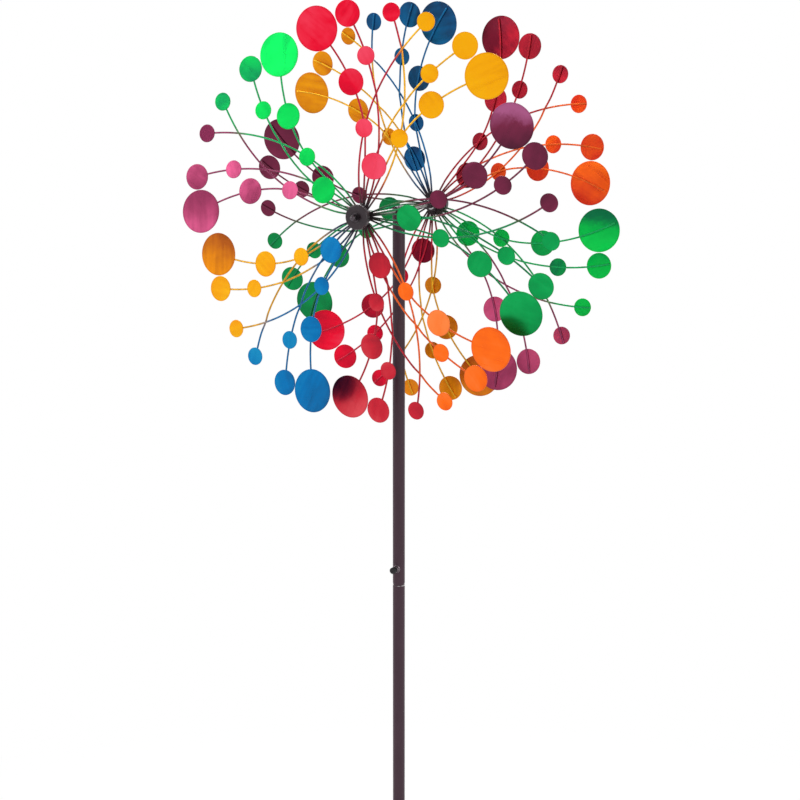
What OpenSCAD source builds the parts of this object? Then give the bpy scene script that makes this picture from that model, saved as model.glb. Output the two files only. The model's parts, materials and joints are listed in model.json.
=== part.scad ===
// Wind spinner: two pinwheel rotors of painted metal discs on bent wires,
// turning opposite ways on one axle at the top of a three-piece stake.
// Ground level is Z = 0, the pole stands on the Z axis and the axle lies along Y.
// The front rotor is on the -Y side. Left and right are as seen from the front.

/* [Rotors] */
// Height of the axle above the ground
hub_z = 1450; // [1350:5:1600]
// Distance from the pole axis to the wire plane of each rotor at its hub
rotor_y = 108.5; // [100:0.5:125]
// Clockwise turn of the first front blade from straight up, seen from the front
front_phase = 13; // [-36:0.5:36]
// Clockwise turn of the first rear blade from straight up, seen from the front
rear_phase = -23; // [-36:0.5:36]
// Pitch that makes each blade catch the wind
pitch = 6.5; // [0:0.5:10]
// Lean of the blades in towards the pole
lean = 2; // [0:0.5:3]
// How far a blade that stands level sags under its own weight, in degrees
sag = 4; // [0:0.5:5]

/* [Blade wires] */
// Angle off the blade's centre line the outer wires spiral in from
outer_start = 26.5; // [25:0.5:27.5]
// Degrees the outer wires curl back towards the centre line for each millimetre out
outer_curl = 0.11; // [0.1:0.005:0.115]
// Angle off the centre line the middle wires leave at
middle_start = 11; // [11:0.5:12]
// Degrees the middle wires curl away for each millimetre out, once they bend
middle_curl = 0.12; // [0.12:0.001:0.125]
// Angle across the centre line the inner wires spiral out from
inner_start = 10; // [10:0.5:11]
// Degrees the inner wires curl away for each millimetre out
inner_curl = 0.1; // [0.09:0.005:0.1]
// Diameter of the blade wires
wire_d = 2.7; // [2:0.1:3]

/* [Disc places, out from the axle] */
// Middle-sized disc on the centre line
centre_out = 74; // [68:1:80]
// Small disc where the outer and middle wires cross; the middle wires bend here
crossing_out = 125; // [120:1:125]
// Middle-sized disc on each middle wire
shoulder_out = 190; // [185:1:196]
// Big disc at the end of each middle wire
big_out = 272; // [272:1:276]
// Small disc on each inner wire
inner_out = 226; // [220:1:232]
// Middle-sized disc at the end of each inner wire
corner_out = 285; // [282:1:288]
// Small disc at the end of each outer wire
tip_out = 289; // [285:1:292]

/* [Discs] */
// Diameter of the small discs
small_d = 26.5; // [20:0.5:28]
// Diameter of the middle discs
medium_d = 38; // [30:0.5:39]
// Diameter of the big discs
big_d = 64; // [50:1:65]
// Sheet thickness of the discs
disc_t = 1.0; // [0.8:0.1:1.5]

/* [Hub] */
// Diameter of the round hub cap
cap_d = 36; // [30:1:42]
// Thickness of the hub cap
cap_t = 9; // [7:0.5:10]
// Diameter of the hub barrel that carries the wires
barrel_d = 21; // [20:0.5:24]
// Diameter of the axle rod
axle_d = 6.4; // [6:0.1:6.6]
// Length of the acorn nuts on the ends of the axle
nut_h = 12; // [8:0.5:14]

/* [Pole] */
// Outside diameter of the pole tubes
pole_d = 18.5; // [16.5:0.5:20]
// Wall thickness of the pole tubes
pole_wall = 1.2; // [1:0.1:1.5]
// Height of the joint between the upper and middle tubes
joint_hi_z = 876; // [860:1:950]
// Height of the joint between the middle and lower tubes
joint_lo_z = 300; // [250:1:450]
// Length of the sleeves hidden in the pole joints
sleeve_len = 110; // [80:5:140]

/* [Ground stake] */
// Depth of the centre spike below the ground
spike_depth = 180; // [120:5:250]
// Diameter of the centre spike
spike_d = 14; // [10:0.5:15]
// Reach of each step-in prong from the pole axis
prong_reach = 70; // [50:5:120]
// Length of each prong below its bend
prong_depth = 140; // [80:5:180]
// Diameter of the prong rod
prong_d = 8; // [6:0.5:10]

/* [Hidden] */
$fn = 64;

run = 0.05;                   // radial clearance of running fits
snug = 0.02;                  // radial clearance of fixed fits
cut = 1;                      // how far cutters run past a face
pole_paint = "#463a3f";
fitting_paint = "#3c3338";    // hub barrels and weld nuts

FRONT = 0;
REAR = 1;
LEFT = -1;
RIGHT = 1;

// Puts children drawn for the front, with the axle at Z = 0, on the chosen end
module at_end(end) {
    translate([0, 0, hub_z]) mirror([0, end, 0]) children();
}

// ---- blade layout -----------------------------------------------------------
blade_step = 72;              // five blades to a rotor
wire_r = wire_d / 2;
wire_sides = 6;
weld = 0.15;                  // how far a disc sinks into the wires under it
bend_soft = 30;               // softness of the bend in the middle wires
root_step = 9;                // degrees between neighbouring wires at the barrel
root_sink = 0.4;              // how far the wires start inside the barrel
free_r = 40;                  // where the wires have come clear of each other
spans = 18;                   // spans of a wire beyond free_r
overrun = 0.36;               // part of the end disc's diameter a wire runs past its middle

// Blades by rotor (FRONT, REAR), clockwise from the top:
// [paint of the left half, paint of the right half, half that holds the centre disc]
BLADES = [
    [["crimson", "orange", LEFT],
     ["darkmagenta", "green", RIGHT],
     ["darkorange", "firebrick", RIGHT],
     ["steelblue", "goldenrod", LEFT],
     ["mediumvioletred", "limegreen", RIGHT]],
    [["goldenrod", "steelblue", RIGHT],
     ["firebrick", "orangered", LEFT],
     ["limegreen", "mediumvioletred", LEFT],
     ["orange", "indianred", RIGHT],
     ["seagreen", "purple", LEFT]]
];

// A wire is a spiral: its angle off the centre line follows from the distance r
// out from the axle. Blades are laid out in the XZ plane, Z out along the centre line.
function polar(r, angle) = r * [sin(angle), cos(angle)];
// 0 inside the bend, r - crossing_out beyond it, with a soft corner between
function bent(r) =
    let (past = r - crossing_out) (past + sqrt(past * past + bend_soft * bend_soft)) / 2;
function outer_at(r) = polar(r, outer_start - outer_curl * r);
function middle_at(r) = polar(r, middle_start + middle_curl * bent(r));
function inner_at(r) = polar(r, inner_curl * r - inner_start);

// Discs of the right half: [centre, diameter]. The outer wire of the other half ends
// across the centre line, so its tip disc belongs to this half.
HALF_DISCS = [
    [middle_at(crossing_out), small_d],
    [middle_at(shoulder_out), medium_d],
    [middle_at(big_out), big_d],
    [inner_at(inner_out), small_d],
    [inner_at(corner_out), medium_d],
    [[-outer_at(tip_out)[0], outer_at(tip_out)[1]], small_d]
];

// The six wires of a blade leave the barrel side by side, evenly spaced
function root(steps) = polar(barrel_d / 2 - root_sink, root_step * steps);
// Distances out along a wire that ends under a disc at end_out
function stations(end_out, disc_d) =
    let (last = end_out + disc_d * overrun)
    [for (i = [0:spans]) free_r + (last - free_r) * i / spans];
OUTER = concat([root(2.5)], [for (r = stations(tip_out, small_d)) outer_at(r)]);
MIDDLE = concat([root(1.5)], [for (r = stations(big_out, big_d)) middle_at(r)]);
INNER = concat([root(-0.5)], [for (r = stations(corner_out, medium_d)) inner_at(r)]);

// Across a path at point i, as a unit vector
function across(path, i) =
    let (chord = path[min(i + 1, len(path) - 1)] - path[max(i - 1, 0)],
         along = chord / norm(chord))
    [along[1], -along[0]];

// Six-sided wire swept along a flat curve in the XZ plane; flats face +Y and -Y
module wire(path) {
    n = len(path);
    m = wire_sides;
    corner_r = wire_r / cos(180 / m);
    points = [
        for (i = [0:n - 1])
            let (aside = across(path, i))
            for (j = [0:m - 1])
                let (angle = j * 360 / m,
                     spot = path[i] + aside * corner_r * cos(angle))
                [spot[0], corner_r * sin(angle), spot[1]]
    ];
    faces = concat(
        [[for (j = [0:m - 1]) j]],
        [for (i = [0:n - 2], j = [0:m - 1])
            let (k = (j + 1) % m)
            [i * m + j, (i + 1) * m + j, (i + 1) * m + k, i * m + k]],
        [[for (j = [m - 1:-1:0]) (n - 1) * m + j]]
    );
    polyhedron(points = points, faces = faces, convexity = 4);
}

// Puts a blade, numbered from 1, on its rotor. Children are drawn in the blade's own
// frame: X across the blade, Z out from the hub, -Y away from the pole.
module place(end, blade) {
    stand = (end == FRONT ? front_phase : rear_phase) + blade_step * (blade - 1);
    at_end(end) translate([0, -rotor_y, 0])
        rotate([0, stand + sag * sin(stand), 0])
        rotate([-lean, 0, 0]) rotate([0, 0, pitch]) children();
}

module blade_wires(end, blade) {
    place(end, blade) color("dimgray") union() for (flip = [0, 1]) mirror([flip, 0, 0]) {
        wire(OUTER);
        wire(MIDDLE);
        wire(INNER);
    }
}

// One disc on the outer (-Y) face of the wires
module disc(centre, d) {
    translate([centre[0], -(wire_r - weld), centre[1]])
        rotate([90, 0, 0]) cylinder(d = d, h = disc_t);
}

// Discs of the LEFT or RIGHT half of a blade
module blade_discs(end, blade, half) {
    row = BLADES[end][blade - 1];
    place(end, blade) color(half == LEFT ? row[0] : row[1]) {
        for (entry = HALF_DISCS) disc([half * entry[0][0], entry[0][1]], entry[1]);
        if (row[2] == half) disc([0, centre_out], medium_d);
    }
}

// ---- hub: stations named _y are measured out from the pole along the axle --------
barrel_len = 18.5;
barrel_in_y = rotor_y - 7.5;
barrel_out_y = barrel_in_y + barrel_len;   // where the cap sits
cap_out_y = barrel_out_y + cap_t;
bearing_w = 5;
bearing_inset = 0.6;          // from the ends of the barrel
bearing_in_y = barrel_in_y + bearing_inset;
bearing_out_y = barrel_out_y - bearing_inset - bearing_w;
BEARINGS = [bearing_in_y, bearing_out_y];  // inner face of each bearing
washer_y = cap_out_y + 0.2;   // just clear of the cap
washer_t = 0.8;
washer_r = 6;
nut_y = washer_y + washer_t;
axle_end_y = cap_out_y + nut_h - 2.1;

axle_r = axle_d / 2;
clamp_r = axle_r + snug;      // bore of everything clamped on the axle
inner_ring_r = 4.8;           // outside of the inner rings
outer_ring_bore = 6.4;        // inside radius of the outer rings
outer_ring_r = 8.0;           // outside of the outer rings
spacer_r = 4.5;
ball_r = 1.0;
ball_count = 7;
ball_circle_r = (inner_ring_r + outer_ring_bore) / 2;
groove_clear = 0.06;          // radial clearance of the balls in their grooves

cap_edge_r = 2.2;             // rolled outer edge of the cap
cap_back_step = 0.6;          // step at the rim of the cap's back face
cap_overlap = 0.01;
cap_seat_r = 8.5;
cap_seat_depth = 0.5;

collar_len = 14;
collar_r = 6.2;
collar_nose = 3;              // length of the stepped nose
collar_waist_y = 4.5;         // from the collar's inner end
collar_waist_r = 1.1;
grub_back = 6.2;              // grub screw seat, back from the inner bearing
grub_d = 3;
grub_floor = 3.6;             // bottom of the seat above the axle's centre

nut_d = 10.4;                 // across corners
nut_dome = 4.4;               // radius of the nut's dome
nut_wall = 2.4;               // closed end of the nut beyond its bore

// A ring about Y from y0 to y1 (both measured out from the pole, towards -Y)
module ring_y(outer_r, bore_r, y0, y1) {
    translate([0, -y0, 0]) rotate([90, 0, 0]) difference() {
        cylinder(r = outer_r, h = y1 - y0);
        if (bore_r > 0) translate([0, 0, -cut]) cylinder(r = bore_r, h = y1 - y0 + 2 * cut);
    }
}

// A grooved bearing ring at each bearing of one hub
module grooved_rings(outer_r, bore_r) {
    for (y = BEARINGS) difference() {
        ring_y(outer_r, bore_r, y, y + bearing_w);
        translate([0, -(y + bearing_w / 2), 0]) rotate([90, 0, 0]) rotate_extrude()
            translate([ball_circle_r, 0]) circle(r = ball_r + groove_clear, $fn = 32);
    }
}
module outer_rings(end) {
    color("silver") at_end(end) grooved_rings(outer_ring_r, outer_ring_bore);
}
module inner_rings() {
    color("silver") for (end = [FRONT, REAR]) at_end(end) grooved_rings(inner_ring_r, clamp_r);
}
module balls(end) {
    color("gainsboro") at_end(end) for (y = BEARINGS, k = [0:ball_count - 1])
        rotate([0, k * 360 / ball_count, 0])
            translate([0, -(y + bearing_w / 2), ball_circle_r]) sphere(r = ball_r, $fn = 24);
}

module hub_barrel(end) {
    color(fitting_paint) at_end(end)
        ring_y(barrel_d / 2, outer_ring_r + snug, barrel_in_y, barrel_out_y);
}

// Round cap with a rolled outer edge, a stepped back edge and a shallow seat for the washer
module hub_cap(end) {
    core_r = cap_d / 2 - cap_edge_r;
    edge_y = cap_t - cap_edge_r;
    bore_r = spacer_r + run;
    color(pole_paint) at_end(end) rotate([90, 0, 0]) translate([0, 0, barrel_out_y])
        rotate_extrude($fn = 96) difference() {
            union() {
                translate([bore_r, 0]) square([core_r - bore_r, cap_t]);
                translate([core_r - cap_overlap, cap_back_step])
                    square([cap_edge_r + cap_overlap, edge_y - cap_back_step]);
                intersection() {
                    translate([core_r, edge_y]) circle(r = cap_edge_r, $fn = 48);
                    translate([core_r - cap_overlap, edge_y - cap_overlap])
                        square([cap_edge_r + cut, cap_edge_r + cut]);
                }
            }
            translate([0, cap_t - cap_seat_depth]) square([cap_seat_r, 1]);
        }
}

// One spacer between the bearings, one from the outer bearing to the washer
module axle_spacers() {
    color("silver") for (end = [FRONT, REAR]) at_end(end) {
        ring_y(spacer_r, clamp_r, bearing_in_y + bearing_w, bearing_out_y);
        ring_y(spacer_r, clamp_r, bearing_out_y + bearing_w, washer_y);
    }
}

module stop_collars() {
    color("gray") for (end = [FRONT, REAR]) at_end(end) difference() {
        rotate([90, 0, 0]) translate([0, 0, bearing_in_y - collar_len])
            rotate_extrude() difference() {
                translate([clamp_r, 0]) square([collar_r - clamp_r, collar_len]);
                // stepped nose that bears on the inner ring only
                translate([spacer_r, collar_len - collar_nose]) square([5, 5]);
                // waist
                translate([collar_r, collar_waist_y]) circle(r = collar_waist_r, $fn = 32);
            }
        // grub screw seat
        translate([0, -(bearing_in_y - grub_back), grub_floor]) cylinder(d = grub_d, h = 5);
    }
}

module axle_washers() {
    color("silver") for (end = [FRONT, REAR]) at_end(end)
        ring_y(washer_r, clamp_r, washer_y, nut_y);
}

module acorn_nuts() {
    hex_h = nut_h - nut_dome;
    color("lightgray") for (end = [FRONT, REAR]) at_end(end)
        translate([0, -nut_y, 0]) rotate([90, 0, 0]) difference() {
            union() {
                cylinder(d = nut_d, h = hex_h, $fn = 6);
                // outer half of a ball
                translate([0, 0, hex_h]) intersection() {
                    sphere(r = nut_dome, $fn = 48);
                    cylinder(r = 5, h = 6);
                }
            }
            translate([0, 0, -cut]) cylinder(r = clamp_r, h = cut + nut_h - nut_wall);
        }
}

module axle() {
    color("silver") at_end(FRONT) ring_y(axle_r, 0, -axle_end_y, axle_end_y);
}

// ---- pole -----------------------------------------------------------------------
pole_r = pole_d / 2;
pole_bore = pole_r - pole_wall;   // inside radius of the tubes
plug_r = pole_bore - snug;        // parts fixed inside the tubes
sleeve_r = pole_bore - run;
sleeve_wall = 1.5;
pole_top_z = hub_z - 8;
gap = 0.3;                    // visible line between two tubes
neck_h = 3;                   // taper at the foot of a tube
neck_in = 0.7;
lip_r = 0.8;                  // rolled lip at the mouth of a tube
lip_inset = 0.5;

head_r = 6;
head_half = 13;               // half the length of the cross tube
saddle_h = 4;
plug_h = 10;

screw_up = 26.2;              // height of a thumb screw above the foot of its tube
screw_r = 3;                  // M6
screw_hole_clear = 0.1;
screw_chamfer = 0.8;
shank_tip = sleeve_r + run;   // just clear of the sleeve
shank_in_knob = 4.5;          // how far the shank enters the knob
weld_nut_d = 10.4;
weld_nut_out = pole_r + 4.2;  // outer face of the weld nut, from the pole axis

knob_in = pole_r + 6.4;       // inner face of the knob, from the pole axis
knob_len = 5.5;
knob_r = 5;
knob_round = 1.2;
knob_bore_depth = 4.6;
flute_count = 12;
flute_r = 0.9;
flute_out = 0.45;             // flute centres outside the knob's rim

stake_neck_h = 12;            // thicker part of the spike above the ground
stake_neck_r = spike_d / 2 + 0.8;
stake_collar_h = 6;
stake_top_z = stake_neck_h + stake_collar_h;   // where the lower tube stands

// foot: tapered neck and screw hole of a tube that stands on a joint; lip: rolled mouth
module tube(z0, z1, foot = false, lip = false) {
    neck = foot ? neck_h : 0;
    difference() {
        union() {
            translate([0, 0, z0 + neck]) cylinder(r = pole_r, h = z1 - z0 - neck);
            if (foot) translate([0, 0, z0]) cylinder(r1 = pole_r - neck_in, r2 = pole_r, h = neck);
            if (lip) translate([0, 0, z1 - lip_r]) rotate_extrude()
                translate([pole_r - lip_inset, 0]) circle(r = lip_r, $fn = 24);
        }
        translate([0, 0, z0 - cut]) cylinder(r = pole_bore, h = z1 - z0 + 2 * cut);
        // keeps the lip level with the mouth
        if (lip) translate([0, 0, z1]) cylinder(r = pole_r + 3, h = 2);
        if (foot) translate([0, 0, z0 + screw_up]) rotate([90, 0, 0])
            cylinder(r = screw_r + screw_hole_clear, h = pole_r + 5);
    }
}
module upper_tube() {
    color(pole_paint) tube(joint_hi_z + gap, pole_top_z, foot = true);
}
module middle_tube() {
    color(pole_paint) tube(joint_lo_z + gap, joint_hi_z, foot = true, lip = true);
}
module lower_tube() {
    color(pole_paint) tube(stake_top_z, joint_lo_z, lip = true);
}

module sleeve(joint_z) {
    color("dimgray") translate([0, 0, joint_z - sleeve_len / 2]) difference() {
        cylinder(r = sleeve_r, h = sleeve_len);
        translate([0, 0, -cut]) cylinder(r = sleeve_r - sleeve_wall, h = sleeve_len + 2 * cut);
    }
}

// Lifts children to the thumb screw above a joint
module at_screw(joint_z) {
    translate([0, 0, joint_z + gap + screw_up]) children();
}

// Round boss welded on the tube; its bore is the screw's thread
module weld_nut(joint_z) {
    color(fitting_paint) at_screw(joint_z) difference() {
        rotate([90, 0, 0]) cylinder(d = weld_nut_d, h = weld_nut_out);
        cylinder(r = pole_r, h = 20, center = true);
        rotate([90, 0, 0]) cylinder(r = screw_r + run, h = weld_nut_out + 2 * cut);
    }
}

module screw_shank(joint_z) {
    shank_len = knob_in + shank_in_knob - shank_tip;
    color("#2b2629") at_screw(joint_z) rotate([90, 0, 0]) translate([0, 0, shank_tip]) {
        cylinder(r1 = screw_r - screw_chamfer, r2 = screw_r, h = screw_chamfer);
        translate([0, 0, screw_chamfer]) cylinder(r = screw_r, h = shank_len - screw_chamfer);
    }
}

// Thumb knob with gripping flutes and rounded ends
module screw_knob(joint_z) {
    core_r = knob_r - knob_round;
    color("#1e1b1d") at_screw(joint_z) rotate([90, 0, 0]) translate([0, 0, knob_in]) difference() {
        rotate_extrude() union() {
            square([core_r, knob_len]);
            translate([0, knob_round]) square([knob_r, knob_len - 2 * knob_round]);
            translate([core_r, knob_round]) circle(r = knob_round, $fn = 32);
            translate([core_r, knob_len - knob_round]) circle(r = knob_round, $fn = 32);
        }
        for (k = [0:flute_count - 1]) rotate(k * 360 / flute_count)
            translate([knob_r + flute_out, 0, -cut])
                cylinder(r = flute_r, h = knob_len + 2 * cut, $fn = 16);
        translate([0, 0, -cut]) cylinder(r = screw_r + run, h = cut + knob_bore_depth);
    }
}

// Short cross tube on top of the pole that grips the axle
module head_tube() {
    color(pole_paint) at_end(FRONT) ring_y(head_r, clamp_r, -head_half, head_half);
}

// Saddle that closes the pole and carries the cross tube
module pole_cap() {
    color(pole_paint) difference() {
        union() {
            translate([0, 0, pole_top_z]) cylinder(r = pole_r, h = saddle_h);
            translate([0, 0, pole_top_z - plug_h]) cylinder(r = plug_r, h = plug_h);
        }
        translate([0, 0, hub_z]) rotate([90, 0, 0]) cylinder(r = head_r, h = 40, center = true);
    }
}

// ---- ground stake -----------------------------------------------------------------
spike_tip_h = 40;
spike_tip_d = 2;
spigot_h = 60;
prong_z = 5;                  // height of the level part of the prongs
prong_start = 2;              // from the pole axis, before the spike is cut out
prong_bend_r = 14;
prong_tip_h = 25;
prong_tip_d = 1.5;

module ground_spike() {
    color(pole_paint) {
        translate([0, 0, -spike_depth]) cylinder(d1 = spike_tip_d, d2 = spike_d, h = spike_tip_h);
        translate([0, 0, -spike_depth + spike_tip_h])
            cylinder(d = spike_d, h = spike_depth - spike_tip_h);
        cylinder(r = stake_neck_r, h = stake_neck_h);
        // collar under the tube's foot, and the spigot above it
        translate([0, 0, stake_neck_h]) cylinder(r = pole_r + 1.5, h = stake_collar_h);
        translate([0, 0, stake_top_z]) cylinder(r = plug_r, h = spigot_h);
    }
}

// One prong along +X, then bent down to a point
module prong() {
    bend_x = prong_reach - prong_bend_r;
    tip_z = -prong_bend_r - prong_depth;
    translate([prong_start, 0, 0]) rotate([0, 90, 0])
        cylinder(d = prong_d, h = bend_x - prong_start);
    translate([bend_x, 0, -prong_bend_r]) rotate([90, 0, 0])
        rotate_extrude(angle = 90) translate([prong_bend_r, 0]) circle(d = prong_d, $fn = 48);
    translate([prong_reach, 0, tip_z + prong_tip_h])
        cylinder(d = prong_d, h = prong_depth - prong_tip_h);
    translate([prong_reach, 0, tip_z]) cylinder(d1 = prong_tip_d, d2 = prong_d, h = prong_tip_h);
}

module ground_prongs() {
    color(pole_paint) translate([0, 0, prong_z])
        for (k = [0:3]) rotate(45 + 90 * k) difference() {
            prong();
            cylinder(r = stake_neck_r, h = 40, center = true);
        }
}

blade_wires(FRONT, 1);  // front_blade_1_wires
blade_discs(FRONT, 1, LEFT);  // front_blade_1_left_discs
blade_discs(FRONT, 1, RIGHT);  // front_blade_1_right_discs
blade_wires(FRONT, 2);  // front_blade_2_wires
blade_discs(FRONT, 2, LEFT);  // front_blade_2_left_discs
blade_discs(FRONT, 2, RIGHT);  // front_blade_2_right_discs
blade_wires(FRONT, 3);  // front_blade_3_wires
blade_discs(FRONT, 3, LEFT);  // front_blade_3_left_discs
blade_discs(FRONT, 3, RIGHT);  // front_blade_3_right_discs
blade_wires(FRONT, 4);  // front_blade_4_wires
blade_discs(FRONT, 4, LEFT);  // front_blade_4_left_discs
blade_discs(FRONT, 4, RIGHT);  // front_blade_4_right_discs
blade_wires(FRONT, 5);  // front_blade_5_wires
blade_discs(FRONT, 5, LEFT);  // front_blade_5_left_discs
blade_discs(FRONT, 5, RIGHT);  // front_blade_5_right_discs
blade_wires(REAR, 1);  // rear_blade_1_wires
blade_discs(REAR, 1, LEFT);  // rear_blade_1_left_discs
blade_discs(REAR, 1, RIGHT);  // rear_blade_1_right_discs
blade_wires(REAR, 2);  // rear_blade_2_wires
blade_discs(REAR, 2, LEFT);  // rear_blade_2_left_discs
blade_discs(REAR, 2, RIGHT);  // rear_blade_2_right_discs
blade_wires(REAR, 3);  // rear_blade_3_wires
blade_discs(REAR, 3, LEFT);  // rear_blade_3_left_discs
blade_discs(REAR, 3, RIGHT);  // rear_blade_3_right_discs
blade_wires(REAR, 4);  // rear_blade_4_wires
blade_discs(REAR, 4, LEFT);  // rear_blade_4_left_discs
blade_discs(REAR, 4, RIGHT);  // rear_blade_4_right_discs
blade_wires(REAR, 5);  // rear_blade_5_wires
blade_discs(REAR, 5, LEFT);  // rear_blade_5_left_discs
blade_discs(REAR, 5, RIGHT);  // rear_blade_5_right_discs
hub_cap(FRONT);  // front_hub_cap
hub_barrel(FRONT);  // front_hub_barrel
outer_rings(FRONT);  // front_bearing_outer_rings
balls(FRONT);  // front_bearing_balls
hub_cap(REAR);  // rear_hub_cap
hub_barrel(REAR);  // rear_hub_barrel
outer_rings(REAR);  // rear_bearing_outer_rings
balls(REAR);  // rear_bearing_balls
axle();
inner_rings();  // bearing_inner_rings
axle_spacers();
stop_collars();
axle_washers();
acorn_nuts();
head_tube();
pole_cap();
upper_tube();
middle_tube();
lower_tube();
sleeve(joint_hi_z);  // upper_sleeve
sleeve(joint_lo_z);  // lower_sleeve
weld_nut(joint_hi_z);  // upper_weld_nut
weld_nut(joint_lo_z);  // lower_weld_nut
screw_shank(joint_hi_z);  // upper_screw_shank
screw_knob(joint_hi_z);  // upper_screw_knob
screw_shank(joint_lo_z);  // lower_screw_shank
screw_knob(joint_lo_z);  // lower_screw_knob
ground_spike();
ground_prongs();
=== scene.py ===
"""Looks of a wind spinner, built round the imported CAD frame.

The pole stands along Z. Two rotors of five blades turn about an axle along Y, the front one on
the -Y side of the pole and the rear one, its mirror image, on the +Y side. Each blade has six
wires carrying painted discs. Lengths are millimetres until MM or TO_METRES turns them to metres.
"""
import json
import math
import random

import bmesh
import bpy
from mathutils import Matrix, Vector, noise


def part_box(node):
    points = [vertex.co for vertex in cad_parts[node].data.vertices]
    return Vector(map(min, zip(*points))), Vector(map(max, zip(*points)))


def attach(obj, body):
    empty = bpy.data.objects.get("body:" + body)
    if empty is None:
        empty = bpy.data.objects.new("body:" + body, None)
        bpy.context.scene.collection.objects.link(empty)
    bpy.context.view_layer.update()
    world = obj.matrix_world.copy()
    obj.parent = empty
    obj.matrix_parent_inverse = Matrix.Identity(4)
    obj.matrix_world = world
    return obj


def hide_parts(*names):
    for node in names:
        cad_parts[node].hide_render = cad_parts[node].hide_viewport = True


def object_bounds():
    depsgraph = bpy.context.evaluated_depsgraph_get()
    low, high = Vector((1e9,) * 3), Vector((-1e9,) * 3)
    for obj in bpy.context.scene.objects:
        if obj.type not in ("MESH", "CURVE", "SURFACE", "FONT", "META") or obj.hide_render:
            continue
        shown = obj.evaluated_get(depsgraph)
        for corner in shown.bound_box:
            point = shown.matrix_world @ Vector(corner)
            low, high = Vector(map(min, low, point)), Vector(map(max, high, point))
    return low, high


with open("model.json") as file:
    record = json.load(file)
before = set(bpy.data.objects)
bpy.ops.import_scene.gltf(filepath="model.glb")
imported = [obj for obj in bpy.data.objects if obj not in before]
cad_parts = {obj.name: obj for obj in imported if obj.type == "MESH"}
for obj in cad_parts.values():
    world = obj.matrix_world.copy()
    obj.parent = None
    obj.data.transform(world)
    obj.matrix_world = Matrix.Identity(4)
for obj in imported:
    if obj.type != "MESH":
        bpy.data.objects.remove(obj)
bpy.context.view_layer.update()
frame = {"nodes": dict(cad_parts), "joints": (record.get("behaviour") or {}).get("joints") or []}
nodes = frame["nodes"]
MM = 0.001
TO_METRES = Matrix.Scale(MM, 4)


# ---- places read from the frame ----------------------------------------------------
def half_width(node):
    lo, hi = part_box(node)
    return (hi.x - lo.x) / 2 / MM


def reach(node):
    """Nearest and farthest distance of a node in front of the pole's axis."""
    lo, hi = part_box(node)
    return -hi.y / MM, -lo.y / MM


def top_z(node):
    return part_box(node)[1].z / MM


joints = {joint["name"]: joint for joint in frame["joints"]}
HUB_Z = joints["front_rotor_spin"]["pos_m"][2] / MM
ROTOR_Y = reach("front_hub_barrel")[0] + 7.5    # wire plane of a rotor at its hub
BARREL_R = half_width("front_hub_barrel")
CAP_R = half_width("front_hub_cap")
CAP_Y0, CAP_Y1 = reach("front_hub_cap")
POLE_R = half_width("upper_tube")
UPPER_JOINT_Z = top_z("middle_tube")
LOWER_JOINT_Z = top_z("lower_tube")

# ---- blade layout, the same rule as the CAD ----------------------------------------
# Degrees. A blade's angle is clockwise from straight up, seen from the front.
PHASE = {"front": 13.0, "rear": -23.0}          # angle of the first blade
STEP = 72                                       # from blade to blade
SAG = 4.0                                       # droop of a level blade
LEAN = 2.0                                      # of the tip towards the pole
PITCH = 6.5                                     # twist about the blade's own length
BLADES = 5

WIRE_R = 1.35
SMALL, MIDDLE, BIG = 26.5, 38.0, 64.0           # disc diameters
# Wire spirals: angle at the axle, and its change in degrees per millimetre outwards
OUTER_START, OUTER_CURL = 26.5, 0.11
MIDDLE_START, MIDDLE_CURL = 11.0, 0.12
INNER_START, INNER_CURL = 10.0, 0.1
BEND_SOFTNESS = 900                             # square millimetres, rounds the middle wire's bend
# Distances of the discs from the axle
CENTRE_OUT, CROSSING_OUT, SHOULDER_OUT, BIG_OUT = 74.0, 125.0, 190.0, 272.0
INNER_OUT, CORNER_OUT, TIP_OUT = 226.0, 285.0, 289.0
ROOT_STEP = 9.0                                 # degrees between wire roots on the barrel
FREE_R = 40.0                                   # where the wires come clear and start to curl
END_UNDER_DISC = 0.36                           # wire end beyond a disc's centre, in diameters


def polar(r, degrees):
    return Vector((r * math.sin(math.radians(degrees)), r * math.cos(math.radians(degrees))))


def bent(r):
    """Close to zero inside the crossing disc and close to the distance past it beyond."""
    past = r - CROSSING_OUT
    return (past + math.sqrt(past * past + BEND_SOFTNESS)) / 2


def outer_at(r):
    return polar(r, OUTER_START - OUTER_CURL * r)


def middle_at(r):
    return polar(r, MIDDLE_START + MIDDLE_CURL * bent(r))


def inner_at(r):
    return polar(r, INNER_CURL * r - INNER_START)


# Wires of one half: root place in ROOT_STEPs, (across, out) for a distance out, last distance
WIRES = {
    "outer": (2.5, outer_at, TIP_OUT + SMALL * END_UNDER_DISC),
    "middle": (1.5, middle_at, BIG_OUT + BIG * END_UNDER_DISC),
    "inner": (-0.5, inner_at, CORNER_OUT + MIDDLE * END_UNDER_DISC),
}
# Discs of one half: wire, distance out, diameter, and -1 where the wire is the other half's
DISC_SEATS = {
    "crossing": ("middle", CROSSING_OUT, SMALL, 1),
    "shoulder": ("middle", SHOULDER_OUT, MIDDLE, 1),
    "big": ("middle", BIG_OUT, BIG, 1),
    "inner": ("inner", INNER_OUT, SMALL, 1),
    "corner": ("inner", CORNER_OUT, MIDDLE, 1),
    "tip": ("outer", TIP_OUT, SMALL, -1),
}
# Across, out and diameter of each disc in the right half
DISCS = {
    disc: (flip * WIRES[wire][1](out)[0], WIRES[wire][1](out)[1], diameter)
    for disc, (wire, out, diameter, flip) in DISC_SEATS.items()
}
# Half that the centre disc of each blade is painted with, -1 left and 1 right
CENTRE_SIDE = {"front": [-1, 1, 1, -1, 1], "rear": [1, -1, -1, 1, -1]}


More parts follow.
